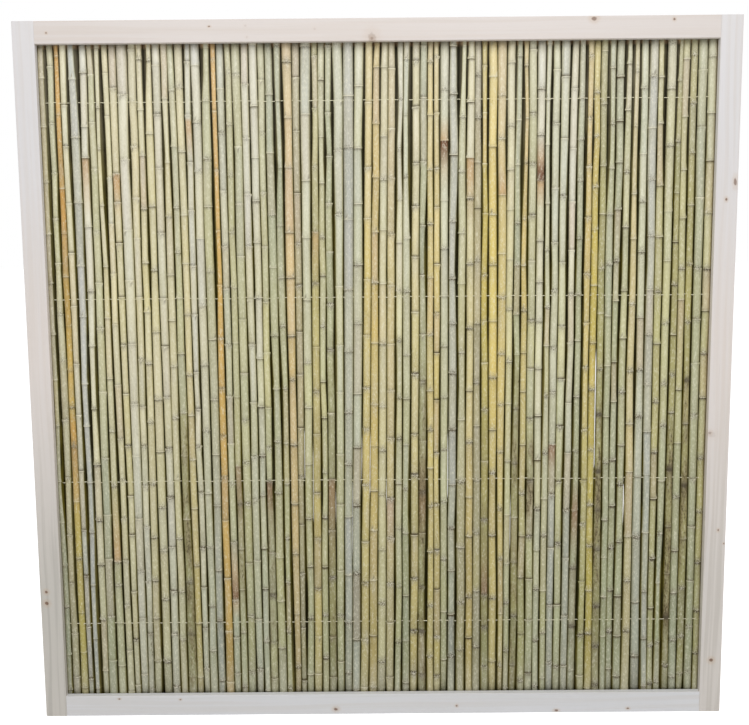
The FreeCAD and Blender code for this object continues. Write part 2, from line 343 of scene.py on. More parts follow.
knot_group, taken, given = new_group(
    "board_knot",
    [
        ("Vector", "NodeSocketVector", None),
        ("Centre", "NodeSocketVector", None),
        ("Radius", "NodeSocketFloat", 0.006),
        ("Length", "NodeSocketFloat", 1.0),
    ],
    [("Heart", "NodeSocketFloat"), ("Halo", "NodeSocketFloat")],
)
away = add(knot_group, "ShaderNodeVectorMath", in0=taken["Vector"], in1=taken["Centre"])
away.operation = "SUBTRACT"
parts = add(knot_group, "ShaderNodeSeparateXYZ", Vector=away.outputs[0])
squeezed = maths(knot_group, "DIVIDE", parts.outputs[2], taken["Length"])
flat = add(knot_group, "ShaderNodeCombineXYZ", X=parts.outputs[0], Z=squeezed)
reach = add(knot_group, "ShaderNodeVectorMath", in0=flat.outputs[0])
reach.operation = "LENGTH"
ragged = streaky(knot_group, taken["Vector"], (160.0, 160.0, 160.0))
reach = maths(knot_group, "DIVIDE", reach.outputs["Value"], taken["Radius"])
reach = maths(knot_group, "ADD", reach, maths(knot_group, "MULTIPLY_ADD", ragged, 0.9, -0.45))
knot_group.links.new(spread(knot_group, reach, 0.6, 1.1, 1.0, 0.0), given["Heart"])
knot_group.links.new(spread(knot_group, reach, 0.9, 3.0, 1.0, 0.0), given["Halo"])
print("groups", [group.name for group in bpy.data.node_groups])

# %% [markdown]
# Wood is that grain in two or three close shades, with knots mixed over it. The stiles have gone
# grey towards the ground, where rain splashes them. One function makes the wood of any board.

# %% Wood for a board
RESIN_BROWN = colour(112, 80, 58)
HALO_BROWN = colour(196, 168, 138)
FOOT_GREY = colour(196, 192, 184)
LATE_WOOD = np.array([0.90, 0.85, 0.78])
PALE_WOOD = np.array([1.04, 1.05, 1.07])
SUNNED_WOOD = (1.05, 1.0, 0.95)
SUN_HEIGHTS = (1.55, 0.95)
RAIN_HEIGHTS = (1.0, 0.25)
RING_SHARE, CLOUD_SHARE, PORE_SHARE = 0.55, 0.5, 0.16
PORE_SHADE, STREAK_SHADE = 0.62, 0.72
GRAIN_STRENGTH, GRAIN_DEPTH = 0.25, 0.0004


def board_wood(name, shade, run, seed, knots=(), greying=0.0, contrast=1.0):
    """Planed spruce, with its grain running up or across.

    A knot is its x, z and radius in metres, how many times it is longer than wide, and how dark.
    """
    material, tree, surface = new_material(name)
    place = add(tree, "ShaderNodeTexCoord").outputs["Object"]
    along = place
    if run == "across":
        turn = add(tree, "ShaderNodeMapping", Vector=place, Rotation=(0.0, QUARTER, 0.0))
        along = turn.outputs[0]
    rings, pores, clouds = place_group(tree, grain_group, Vector=along, Seed=seed)
    tint = over(tree, rgba(shade), times(tree, rings, RING_SHARE * contrast), shade * LATE_WOOD)
    tint = over(tree, tint, times(tree, clouds, CLOUD_SHARE), np.minimum(shade * PALE_WOOD, 1.0))
    dull = spread(tree, pores, 0.58, 0.75, 0.0, PORE_SHARE * contrast)
    tint = over(tree, tint, dull, shade * PORE_SHADE)
    if greying:
        height = add(tree, "ShaderNodeSeparateXYZ", Vector=place).outputs[2]
        tint = stained(tree, tint, spread(tree, height, *SUN_HEIGHTS), SUNNED_WOOD)
        low = times(tree, spread(tree, height, *RAIN_HEIGHTS), greying)
        stain = maths(tree, "MULTIPLY_ADD", clouds, 0.9, 0.55)
        tint = over(tree, tint, times(tree, low, stain, clamp=True), FOOT_GREY)
        streak = times(tree, spread(tree, rings, 0.3, 0.9, 0.0, 0.5), low)
        tint = over(tree, tint, streak, FOOT_GREY * STREAK_SHADE)
    for x, z, radius, stretch, depth in knots:
        heart, halo = place_group(
            tree, knot_group, Vector=place, Centre=(x, 0.0, z), Radius=radius, Length=stretch
        )
        tint = over(tree, tint, times(tree, halo, 0.4 * depth + 0.02), HALO_BROWN)
        tint = over(tree, tint, times(tree, heart, depth), RESIN_BROWN)
    rough = maths(tree, "MULTIPLY_ADD", rings, 0.12, 0.6)
    relief = maths(tree, "MULTIPLY_ADD", rings, 0.6, times(tree, pores, 0.4))
    coat(tree, surface, tint, rough, relief, GRAIN_STRENGTH, GRAIN_DEPTH)
    return material


print("wood ready, greying to", [round(part, 2) for part in FOOT_GREY])

# %% [markdown]
# Each board in front gets its own mix, with its knots where the photograph shows them. The
# stiles are pinkish white, the top rail is warmer and the bottom rail is a cool grey. The boards
# and strips behind are guessed, so they share four plain mixes.

# %% The boards and their knots
STILE_WHITE = colour(219, 216, 216)
TOP_CREAM = colour(217, 209, 204)
FOOT_COOL = colour(218, 218, 220)
INNER_TAN = colour(206, 190, 160)
REAR_PALE = colour(222, 212, 198)

LEFT_KNOTS = [(-0.884, 0.345, 0.0045, 1.0, 0.85), (-0.884, 0.314, 0.0055, 1.0, 0.85)]
RIGHT_KNOTS = [
    (0.872, 1.352, 0.003, 1.3, 0.85), (0.893, 1.395, 0.004, 2.5, 0.7),
    (0.850, 0.757, 0.0045, 0.9, 0.45), (0.856, 0.752, 0.011, 0.7, 0.12),
    (0.880, 0.498, 0.0026, 1.2, 0.8), (0.896, 0.462, 0.002, 1.0, 0.8),
    (0.873, 0.143, 0.0055, 1.0, 0.85),
]
TOP_KNOTS = [
    (-0.815, 1.771, 0.0022, 1.0, 0.8), (-0.413, 1.783, 0.003, 0.6, 0.85),
    (-0.324, 1.784, 0.003, 1.0, 0.12), (-0.321, 1.757, 0.003, 1.0, 0.12),
    (-0.154, 1.775, 0.003, 1.0, 0.12), (-0.013, 1.753, 0.011, 1.2, 0.3),
    (-0.013, 1.751, 0.004, 1.0, 0.45), (0.533, 1.793, 0.007, 0.8, 0.7),
    (0.730, 1.790, 0.003, 1.0, 0.8),
]
FOOT_KNOTS = [
    (-0.703, 0.047, 0.003, 0.6, 0.8), (-0.540, 0.044, 0.0028, 0.8, 0.8),
    (-0.125, 0.014, 0.006, 0.7, 0.85), (0.198, 0.021, 0.0028, 1.0, 0.8),
    (0.464, 0.006, 0.005, 0.6, 0.85), (0.655, 0.010, 0.004, 0.6, 0.85),
]
BOARDS = {
    "front_left_stile": board_wood(
        "left_stile_wood", STILE_WHITE, "up", 1.0, LEFT_KNOTS, greying=0.85, contrast=0.8
    ),
    "front_right_stile": board_wood(
        "right_stile_wood", STILE_WHITE, "up", 2.7, RIGHT_KNOTS, greying=0.45, contrast=0.9
    ),
    "front_top_rail": board_wood(
        "top_rail_wood", TOP_CREAM, "across", 4.1, TOP_KNOTS, contrast=0.8
    ),
    "front_bottom_rail": board_wood(
        "bottom_rail_wood", FOOT_COOL, "across", 6.3, FOOT_KNOTS, contrast=0.8
    ),
}
REAR_KNOT = (0.873, 1.21, 0.005, 1.0, 0.8)
REAR_RAIL_KNOT = (0.31, 1.77, 0.006, 0.7, 0.8)
SHARED_WOODS = {
    ("rear_left_stile", "rear_right_stile"):
        board_wood("rear_wood_up", REAR_PALE, "up", 8.9, [REAR_KNOT], greying=0.6),
    ("rear_top_rail", "rear_bottom_rail"):
        board_wood("rear_wood_across", REAR_PALE, "across", 9.7, [REAR_RAIL_KNOT]),
    ("left_spacer", "right_spacer"):
        board_wood("strip_wood_up", INNER_TAN, "up", 12.4, greying=0.5),
    ("top_spacer", "bottom_spacer"):
        board_wood("strip_wood_across", INNER_TAN, "across", 15.2),
}
for names, wood in SHARED_WOODS.items():
    BOARDS.update({name: wood for name in names})
for name, wood in BOARDS.items():
    dress(nodes[name], wood)
print(len(BOARDS), "boards dressed")

# %% [markdown]
# The screws in the rear battens are zinc plated, a slightly yellow grey with small dull spots.
# The wires further below have a similar coat, so the spots are a node group, and one function
# makes both metals.

# %% Zinc for the screws
ZINC_BRIGHT = colour(206, 200, 178)
ZINC_DULL = colour(150, 146, 132)

spot_group, taken, given = new_group(
    "zinc_spots",
    [("Vector", "NodeSocketVector", None), ("Scale", "NodeSocketFloat", 900.0)],
    [("Spots", "NodeSocketFloat")],
)
spot_group.links.new(noise(spot_group, taken["Vector"], taken["Scale"], 3.0), given["Spots"])


def zinc_coat(name, bright, dull, scale, first_dull, smoothest, metallic):
    """A metal coat with dull, rougher spots about 1 / scale across."""
    material, tree, surface = new_material(name)
    place = add(tree, "ShaderNodeTexCoord").outputs["Object"]
    spots = place_group(tree, spot_group, Vector=place, Scale=scale)["Spots"]
    tint = over(tree, rgba(bright), spread(tree, spots, first_dull, 0.7), dull)
    coat(tree, surface, tint, spread(tree, spots, 0.3, 0.7, smoothest, smoothest + 0.2))
    surface.inputs["Metallic"].default_value = metallic
    return material


zinc = zinc_coat(
    "zinc", ZINC_BRIGHT, ZINC_DULL, scale=900.0, first_dull=0.4, smoothest=0.3, metallic=0.9
)
dress(nodes["frame_screws"], zinc)
print("screws dressed")

# %% [markdown]
# The canes' lines come from the solids. Each file holds two neighbours, the last one three. Each
# cane is a stack of level octagons, so sorting a file's corners by height gives back every cane's
# centre and thickness.

# %% Read the canes' lines from the solids
CANE_COUNT = 83
FOOT = 0.025
TOP = 1.772
SIDES = 8
SAME_HEIGHT = 1e-4


def middle_of(stack, k):
    """The x of the middle of the k-th octagon from the left in a level stack of corners."""
    return np.sort(stack[:, 0])[SIDES * k:SIDES * (k + 1)].mean()


def cane_rings(node):
    """The rings of the canes in one solid, left to right.

    Each cane is an array with rows of height, centre x, centre y and half width. Corners at the
    same height belong to one level. A level with too few corners for all canes is one cane's
    ring, and it goes to the cane whose straight line from foot to top is nearest.
    """
    mesh = node.data
    points = np.empty(len(mesh.vertices) * 3, np.float32)
    mesh.vertices.foreach_get("co", points)
    points = np.unique(np.round(points.reshape(-1, 3), 5), axis=0)
    heights = np.unique(np.round(points[:, 2], 4))
    stacks = [points[np.abs(points[:, 2] - height) < SAME_HEIGHT] for height in heights]
    held = len(stacks[0]) // SIDES
    feet = np.array([middle_of(stacks[0], k) for k in range(held)])
    tips = np.array([middle_of(stacks[-1], k) for k in range(held)])
    canes = [[] for _ in range(held)]
    for height, stack in zip(heights, stacks):
        stack = stack[np.argsort(stack[:, 0])]
        owners = range(held)
        if len(stack) != SIDES * held:
            share = (height - heights[0]) / (heights[-1] - heights[0])
            middles = feet + (tips - feet) * share
            owners = [int(np.argmin(np.abs(middles - stack[:, 0].mean())))]
        for k, owner in enumerate(owners):
            ring = stack[SIDES * k:SIDES * (k + 1)]
            half = (ring[:, 0].max() - ring[:, 0].min()) / 2
            canes[owner].append((height, ring[:, 0].mean(), ring[:, 1].mean(), half))
    return [np.array(rows) for rows in canes]


cane_nodes = sorted(name for name in nodes if name.startswith("canes_"))
lines = [(name, rows) for name in cane_nodes for rows in cane_rings(nodes[name])]
print(len(cane_nodes), "files hold", len(lines), "canes")

# %% [markdown]
# Real canes press against each other and never overlap. So halfway between the flanks of two
# neighbours runs a border, at all heights, that neither may cross.

# %% The borders between the canes
LEVELS = 60
levels = np.linspace(FOOT, TOP, LEVELS)
centres = np.array([np.interp(levels, rows[:, 0], rows[:, 1]) for _, rows in lines])
halves = np.array([
    np.interp(levels, [FOOT, TOP], [rows[0, 3], rows[-1, 3]]) for _, rows in lines
])
borders = np.empty((CANE_COUNT + 1, len(levels)))
borders[0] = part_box("left_spacer")[1][0]
borders[1:-1] = (centres[:-1] + halves[:-1] + centres[1:] - halves[1:]) / 2
borders[-1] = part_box("right_spacer")[0][0]
depths = np.array([np.interp(levels, rows[:, 0], rows[:, 2]) for _, rows in lines])
depths = np.concatenate([depths[:1], (depths[:-1] + depths[1:]) / 2, depths[-1:]])
print(len(lines), "canes, mean thickness", round(float(halves.mean()) * 2000, 1), "mm")

# %% [markdown]
# The kinds of cane are written as letters, one for each cane from left to right, first at the
# top and then at the foot. Sun and damp leave some canes straw or honey coloured and others
# green, grey or olive.

# %% The kinds of cane
TONES = {
    "s": colour(224, 216, 180), "w": colour(225, 221, 197), "g": colour(207, 204, 168),
    "p": colour(213, 212, 186), "G": colour(189, 190, 160), "b": colour(198, 198, 183),
    "k": colour(193, 184, 154), "y": colour(224, 206, 152), "Y": colour(210, 192, 118),
    "a": colour(219, 197, 140), "o": colour(229, 190, 126), "e": colour(216, 202, 164),
    "v": colour(178, 173, 128), "c": colour(226, 201, 158), "m": colour(201, 195, 150),
    "h": colour(233, 211, 138), "q": colour(216, 178, 110),
}
TOP_TONES = (
    "kgqsbwgsss" "wssswsgsww" "gopggwwgGG" "ckpmgGpbpy" "asewpsGyyp"
    "bgskYhysGa" "gwpppwGaYv" "GGgepbmgvm" "vGg"
)
FOOT_TONES = (
    "GkYbbsGgss" "wwsswsvywp" "bopggppggg" "ckgygvgbby" "asegGyvyyg"
    "bkakvyygvm" "gpgbgbGmYv" "GGGebbmGvG" "vGm"
)
print(len(TOP_TONES), len(FOOT_TONES), "kinds")

# %% [markdown]
# Some canes carry scorched, reddish or mouldy stretches, and between some pairs a slit of light
# shows. A patch is the cane's number from the left, the heights where it is strongest and where
# it has faded, its strength and its shade, and whether it starts crisply at a node. Mould is the
# cane, its two heights and its strength. A slit is the border to the right of the cane with that
# number, its two heights and how far either side draws back. Heights and widths are in millimetres.

# %% Scorched and mouldy stretches
SCORCH = colour(112, 66, 40)
TAN = colour(206, 166, 118)
ROSE = colour(152, 112, 84)
PINK = colour(196, 174, 154)
AMBER = colour(210, 160, 84)
PATCHES = [
    (50, 1505, 1425, 0.95, SCORCH, True), (50, 1505, 1545, 0.5, TAN, False),
    (62, 1403, 1505, 0.95, SCORCH, True), (62, 1403, 1365, 0.6, TAN, False),
    (23, 330, 400, 1.0, SCORCH, False), (23, 330, 285, 0.9, SCORCH, False),
    (53, 1462, 1330, 0.55, TAN, True), (57, 1369, 1455, 0.5, TAN, True),
    (6, 1470, 1350, 0.55, TAN, True), (10, 1430, 1335, 0.75, TAN, True),
    (3, 1394, 1180, 0.6, AMBER, True), (3, 1740, 1565, 0.35, AMBER, False),
    (3, 800, 540, 0.45, AMBER, False), (19, 1564, 1480, 0.6, TAN, False),
    (8, 418, 580, 0.5, TAN, True), (28, 632, 530, 0.65, ROSE, True),
    (24, 673, 450, 0.35, ROSE, True), (36, 636, 410, 0.45, ROSE, True),
    (47, 570, 700, 0.5, ROSE, False), (47, 570, 480, 0.5, ROSE, False),
    (55, 319, 425, 0.65, ROSE, True), (64, 725, 660, 0.65, ROSE, True),
    (67, 540, 600, 0.55, ROSE, False), (67, 540, 430, 0.55, ROSE, False),
    (43, 584, 440, 0.6, PINK, True), (80, 1100, 900, 0.3, PINK, True),
    (34, 1280, 1150, 0.35, TAN, True), (72, 1330, 1200, 0.3, PINK, True),
]
MOULD = [
    (17, 60, 780, 0.8), (28, 60, 632, 0.7), (47, 30, 898, 0.75), (70, 340, 845, 0.95),
    (70, 30, 340, 0.5), (79, 143, 793, 0.95), (81, 390, 950, 0.9), (36, 60, 1000, 0.45),
    (59, 60, 900, 0.65), (61, 527, 760, 0.95), (24, 300, 673, 0.5), (67, 60, 430, 0.6),
    (34, 300, 1400, 0.3), (3, 500, 1500, 0.35), (55, 200, 760, 0.35), (12, 40, 300, 0.3),
]
SLITS = [
    (32, 640, 760, 0.4), (33, 525, 700, 0.35), (36, 510, 590, 0.35), (38, 410, 640, 0.4),
    (39, 640, 750, 0.4), (40, 600, 750, 0.5), (42, 580, 650, 0.4), (50, 590, 750, 0.55),
    (58, 455, 585, 0.4), (63, 640, 760, 0.9), (69, 660, 980, 1.7), (73, 525, 610, 1.5),
]
print(len(PATCHES), "patches,", len(MOULD), "mouldy stretches,", len(SLITS), "slits")

# %% [markdown]
# A cane is a grid of two parameters, height and angle. Between nodes it is a plain tube. Towards
# each node it swells like a trumpet, ends in a sharp pale ring and goes on thinner under a
# painted shadow line. Some canes stand upside down, so their trumpets open upward. The cane bends
# at its nodes by a degree or two.

# %% Where a cane's nodes are
RIDGE = np.array([-9.0, -3.0, -1.5, -0.5, 0.6, 2.2, 7.0, 18.0]) * MM
SWELL = np.array([0.0, 0.12, 0.3, 0.9, 1.0, 0.75, 0.3, 0.0])
NODE_SHADOW_LINE = np.array([0.1, 0.6, 1.0, 0.15, 0.0, 0.35, 0.1, 0.0])
PALE_RING = np.array([0.0, 0.0, 0.0, 1.0, 0.9, 0.3, 0.1, 0.0])
NODE_STEP = 0.105
STEP_BY_THICKNESS = 9.0
THIN_HALF = 0.007
END_CLEARANCE = 0.012
UPSIDE_DOWN = 0.35


def node_places(number, half, dice):
    """Heights of a cane's nodes, closer on a thin cane, with one where each crisp patch starts."""
    step = NODE_STEP + STEP_BY_THICKNESS * (half - THIN_HALF)
    place = FOOT + dice.uniform(0.02, 0.9) * step
    places = []
    while place < TOP - END_CLEARANCE:
        places.append(place)
        place += step * dice.uniform(0.78, 1.25)
    places = np.array(places)
    for cane, start, _, _, _, crisp in PATCHES:
        if cane == number + 1 and crisp:
            places[np.argmin(np.abs(places - start * MM))] = start * MM
    return places


def ring_rows(places, upside_down):
    """Heights of a cane's rings from its foot up, what each one carries, and its row at the node.

    Every node brings eight rings, at its own height plus RIDGE or minus it. One more ring lies
    halfway between two nodes. The rings carry a swell, a painted shadow line and a pale ring. Those
    that belong to no node carry nothing, and their row is -1.
    """
    ridge = -RIDGE if upside_down else RIDGE
    between = (places[:-1] + places[1:]) / 2
    z = np.concatenate([[FOOT, TOP], (places[:, None] + ridge).ravel(), between])
    at_nodes = slice(2, 2 + len(places) * len(RIDGE))
    carried = np.zeros((len(z), 3))
    one_node = np.stack([SWELL, NODE_SHADOW_LINE, PALE_RING], axis=1)
    carried[at_nodes] = np.tile(one_node, (len(places), 1))
    row = np.full(len(z), -1)
    row[at_nodes] = np.tile(np.arange(len(RIDGE)), len(places))
    inside = (z >= FOOT) & (z <= TOP)
    order = np.argsort(z[inside])
    return z[inside][order], carried[inside][order], row[inside][order]


print(len(RIDGE), "rings at each node")

# %% [markdown]
# A cane's flanks reach out to the borders, so that neighbours touch, and they carry a painted
# shade, dark like the shadowed gap between two canes. The width of this painted dark gap wanders
# along the cane. It is wider near the top, where the canes are thinner.

# %% Gaps and lean
GAP_HEIGHTS = [0.2, 1.1, 1.5, 1.75]
GAP_WIDTHS = np.array([2.0, 2.1, 2.6, 3.5]) * MM
GAP_SPREAD = [0.75, 0.75, 0.9, 1.3]
NARROWEST_SHARE, WIDEST_SHARE = 0.06, 3.4
DRIFT_HEIGHTS = np.linspace(FOOT, TOP, 7)
DRIFT_BY_FLANK, DRIFT_BY_HEIGHT = 0.6, 0.75
BEND = 0.6 * MM
BEND_BY_HEIGHT = ([1.0, 1.7], [1.0, 2.0])
GREATEST_BEND = 2.4 * MM
SWAY = 0.8 * MM
CLEARANCE = 0.1 * MM
LEAST_FLANK = 0.15 * MM


def flank_gap(dice, z):
    """How far a cane's unshaded face ends from its border, at each height.

    The usual gap times e to the power of a drifting value, so that few gaps are wide.
    """
    drift = dice.normal(0.0, DRIFT_BY_FLANK)
    wander = dice.normal(0.0, DRIFT_BY_HEIGHT, len(DRIFT_HEIGHTS))
    drift = drift + np.interp(z, DRIFT_HEIGHTS, wander)
    strength = np.interp(z, GAP_HEIGHTS, GAP_SPREAD)
    usual = np.interp(z, GAP_HEIGHTS, GAP_WIDTHS)
    times = np.exp(strength * drift - strength ** 2 / 2)
    return usual * np.clip(times, NARROWEST_SHARE, WIDEST_SHARE)


def cane_course(z, places, left, right, bump, dice):
    """A cane's middle line, the half width of its unshaded face and its sway in depth.

    The middle is halfway between the borders plus a random step at each node, which runs straight
    to the next, plus half the difference of the two gaps. Its unshaded face stays between the
    borders.
    """
    cell = (right - left) / 2
    stops = np.concatenate([[FOOT], places, [TOP]])
    bend = BEND * dice.uniform(0.5, 1.5) * np.interp(stops, *BEND_BY_HEIGHT)
    steps = np.clip(dice.normal(0.0, bend), -GREATEST_BEND, GREATEST_BEND)
    sway = np.interp(z, stops, dice.normal(0.0, SWAY, len(stops)))
    left_gap, right_gap = flank_gap(dice, z), flank_gap(dice, z)
    face = np.clip(cell - (left_gap + right_gap) / 2 + bump, 0.5 * cell, cell - LEAST_FLANK)
    kink = np.interp(z, stops, steps) + (left_gap - right_gap) / 2
    kink = np.clip(kink, face - cell + CLEARANCE, cell - face - CLEARANCE)
    return (left + right) / 2 + kink, face, sway


print("usual gap near the top", round(float(GAP_WIDTHS[-1]) / MM, 1), "mm")

# %% [markdown]
# The grid's columns follow the edge of the painted flank shade: two of them lie close together
# there, which keeps the edge crisp with few faces. Many nodes keep a bud or the stub of a branch,
# and here and there a slit between two canes stays open.

# %% Columns, buds and slits
FRONT = np.array([-1.0, -0.68, -0.34, 0.0, 0.34, 0.68, 1.0])
REAR = np.array([-1.0, -0.5, 0.0, 0.5, 1.0])
# Painted shade on each column: 1 paints the dark gap where canes meet, less shades the edges
FLANK_SHADE = np.array([
    1.0, 1.0, 0.31, 0.05, 0.0, 0.0, 0.0, 0.05, 0.31, 1.0,
    1.0, 1.0, 0.31, 0.0, 0.0, 0.0, 0.31, 1.0,
])
LEFT_FLANK, RIGHT_FLANK = 0, 10
LEFT_SHADE_COLUMNS, RIGHT_SHADE_COLUMNS = slice(0, 2), slice(9, 12)
SLIT_SHADE = 0.1
BUD_COLUMNS = [2, 3, 4, 5, 6, 7, 8]
BUD_ROW, BUD_TIP_ROW = 5, 6
WITH_BUD = 0.42
EDGE_INSIDE, EDGE_OUTSIDE = 0.06, 0.09
WIDEST_EDGE = QUARTER - 0.03
TOUCH = 0.1 * MM


def column_angles(edge):
    """The angle of each column at each ring, for an unshaded face that ends at the angle edge.

    0 looks forward and a quarter turn to the side. The rear columns are shares of the same
    angles, turned by half a turn.
    """
    inner = edge - EDGE_INSIDE
    outer = np.minimum(edge + EDGE_OUTSIDE, WIDEST_EDGE)
    flank = np.full_like(edge, QUARTER)
    front = [-flank, -outer, *(share * inner for share in FRONT), outer, flank]
    rear = [-outer, *(share * inner for share in REAR), outer]
    return np.stack(front + [math.pi + turn for turn in rear], axis=1)


def add_buds(reach, marks, nearest, row, node_count, dice):
    """At some nodes, pushes one column out over two rings, pale first and then dark at the tip."""
    for node in range(node_count):
        if dice.random() < WITH_BUD:
            column = dice.choice(BUD_COLUMNS)
            bud = (nearest == node) & (row == BUD_ROW)
            tip = (nearest == node) & (row == BUD_TIP_ROW)
            size = dice.uniform(0.6, 1.6) * MM
            reach[bud, column] += size
            reach[tip, column] += 0.6 * size
            marks[bud, column] = (0.0, 1.2, 0.0)
            marks[tip, column] = (dice.uniform(0.2, 1.0), 0.5, 0.0)


def cane_limits(number, z, left, right, marks):
    """How far a cane reaches to each side: just past its border, or short of it at a slit.

    A flank at a slit carries hardly any painted shade.
    """
    left_limit, right_limit = left - TOUCH, right + TOUCH
    for border, low_mm, high_mm, width in SLITS:
        open_here = (z > low_mm * MM) & (z < high_mm * MM)
        if border == number + 1:
            right_limit[open_here] -= width * MM
            marks[open_here, RIGHT_SHADE_COLUMNS, 2] = SLIT_SHADE
        if border == number:
            left_limit[open_here] += width * MM
            marks[open_here, LEFT_SHADE_COLUMNS, 2] = SLIT_SHADE
    return left_limit, right_limit


print(len(FLANK_SHADE), "columns round a cane")

# %% [markdown]
# With those pieces a cane's surface is a short sum. Beside its points, the function gives three
# marks for each point, which the material turns into the painted shadow line under each ring, the
# pale ring and the painted flank shade.

# %% One cane as a surface
RING_SWELL_MM = 1.15
GREATEST_REACH = 13.6 * MM
SOOTY_CANES = 0.45
USUAL_SOOT = 0.85
WEAR_BY_HEIGHT = ([0.4, 1.4], [1.0, 0.62])
WEAR_BY_CANE = ([0, 40, CANE_COUNT], [0.75, 1.0, 1.1])
TILT = 0.02
TILT_REACH = 0.02


def worn_nodes(number, z):
    """How dark the nodes are at each height: most near the ground and towards the right."""
    return np.interp(z, *WEAR_BY_HEIGHT) * np.interp(number, *WEAR_BY_CANE)


def cane_surface(number, rows, dice):
    """Points and marks of one cane as arrays (rings, columns, 3), with its heights and nodes.

    A point is the cane's middle plus its radius times the sine of the column's angle, and its
    depth minus the radius times the cosine. The two flank columns lie on the borders. Each node's
    rings are tilted a little. The marks are the painted shadow line with soot, the pale ring and
    the painted flank shade at each point.
    """
    low, high = borders[number], borders[number + 1]
    places = node_places(number, float(np.mean(high - low)) / 2, dice)
    z, carried, row = ring_rows(places, upside_down=dice.random() <= UPSIDE_DOWN)
    nearest = np.argmin(np.abs(z[:, None] - places), axis=1)
    count = len(places)

    flare = (dice.uniform(0.5, 1.5) * dice.uniform(0.6, 1.4, count))[nearest]
    bump = carried[:, 0] * RING_SWELL_MM * MM * flare
    soot = dice.uniform(1.1, 1.9) if dice.random() < SOOTY_CANES else USUAL_SOOT
    # The dark mark paints a shadow under each ring, deeper on sooty canes.
    dark = carried[:, 1] * soot * dice.uniform(0.5, 1.5, count)[nearest]
    pale = carried[:, 2] * dice.uniform(0.2, 1.1, count)[nearest]
    near_node = np.abs(z - places[nearest]) < TILT_REACH
    tilt = dice.normal(0.0, TILT, count)[nearest] * near_node

    left, right = np.interp(z, levels, low), np.interp(z, levels, high)
    middle, face, sway = cane_course(z, places, left, right, bump, dice)
    cell = (right - left) / 2
    depth = np.interp(z, rows[:, 0], rows[:, 2]) + sway
    radius = np.minimum(cell, GREATEST_REACH) + 0.8 * bump
    angles = column_angles(np.arcsin(np.clip(face / np.maximum(radius, cell), 0.2, 0.96)))

    reach = np.broadcast_to(radius[:, None], angles.shape).copy()
    marks = np.zeros((*angles.shape, 3))
    marks[:, :, 0] = (dark * worn_nodes(number, z))[:, None]
    marks[:, :, 1] = pale[:, None]
    marks[:, :, 2] = FLANK_SHADE
    add_buds(reach, marks, nearest, row, count, dice)

    left_limit, right_limit = cane_limits(number, z, left, right, marks)
    x = middle[:, None] + reach * np.sin(angles)
    y = depth[:, None] - reach * np.cos(angles)
    x = np.clip(x, left_limit[:, None], right_limit[:, None])
    x[:, LEFT_FLANK], x[:, RIGHT_FLANK] = left_limit, right_limit
    y[:, LEFT_FLANK] = np.interp(z, levels, depths[number])
    y[:, RIGHT_FLANK] = np.interp(z, levels, depths[number + 1])
    lift = z[:, None] + tilt[:, None] * (x - middle[:, None])
    return np.stack([x, y, lift], axis=2), marks, z, places


print("a ring stands out by about", RING_SWELL_MM, "mm")

# %% [markdown]
# Each length between two nodes has its own shade, a little warmer, greener or greyer than the
# next. Towards the ground the canes carry painted shade, and towards the top painted light. The
# tables below say how much, by height in metres or by the cane's number.

# %% The colours along a cane
KIND_BY_HEIGHT = ([0.35, 1.25], [0, 1])
LENGTH_LIGHT, LENGTH_WARMTH, LENGTH_GREEN = 0.04, 0.014, 0.008
FOOT_SHADE_BY_HEIGHT = ([0.15, 0.95], [1, 0])
FOOT_PAINTED_SHADE = np.array([0.305, 0.265, 0.27])
TOP_PAINTED_LIGHT = np.array([0.02, 0.03, 0.12])
TOP_LIGHT_BY_HEIGHT = ([1.15, 1.55, 1.75], [0.0, 0.8, 1.6])
LIGHT_BY_CANE = ([0, 5, 12, 22, 30, 45, 82], [1.05, 1.05, 1.0, 0.95, 1.0, 1.0, 1.03])
CHALKY = colour(216, 212, 188)
CHALK_BY_HEIGHT = ([1.45, 1.7], [0, 1])
CHALK_BY_CANE = ([20, 32], [0.05, 0.3])
USUAL_BLUE = 0.62
BLUE_KEPT_BY_HEIGHT = ([1.2, 1.5], [0.22, 0.0])
BLUE_BY_CANE = ([0, 30], [0.03, -0.08])
BLUE_DRIFT_BY_HEIGHT = ([1.05, 1.45], [1, 0])
SPLASHED = colour(196, 194, 180)
SPLASH_BY_HEIGHT = ([0.06, 0.16], [0.45, 0])
ROSY_LENGTHS = 0.1


